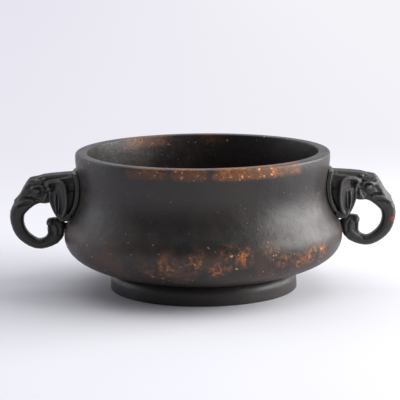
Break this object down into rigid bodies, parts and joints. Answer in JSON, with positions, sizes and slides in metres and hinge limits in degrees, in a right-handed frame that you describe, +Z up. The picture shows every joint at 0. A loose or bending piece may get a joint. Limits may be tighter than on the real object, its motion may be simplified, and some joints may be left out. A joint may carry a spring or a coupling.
{
  "type": "incense burner",
  "caption": "Low round cast bronze incense burner with a thick flat lip, a swelling belly, a ring foot and two fixed beast-head loop handles.",
  "frame": {"origin": "middle of the foot's resting face", "axes": "+Z up through the mouth, +X along the line of the two handles"},
  "size_m": [0.2134, 0.1538, 0.076],
  "materials": {
    "bronze_body": "dark brown patina, polished, worn to copper on edges and lower belly",
    "bronze_foot": "dark green-brown patina",
    "bronze_handle": "dark patina with grey highlights on raised edges",
    "rivet_bronze": "dark peened bronze"
  },
  "bodies": {
    "root": {"vessel_body": "bronze_body", "foot_ring": "bronze_foot", "left_handle": "bronze_handle", "right_handle": "bronze_handle", "left_upper_rivet": "rivet_bronze", "left_lower_rivet": "rivet_bronze", "right_upper_rivet": "rivet_bronze", "right_lower_rivet": "rivet_bronze"}
  },
  "joints": []
}
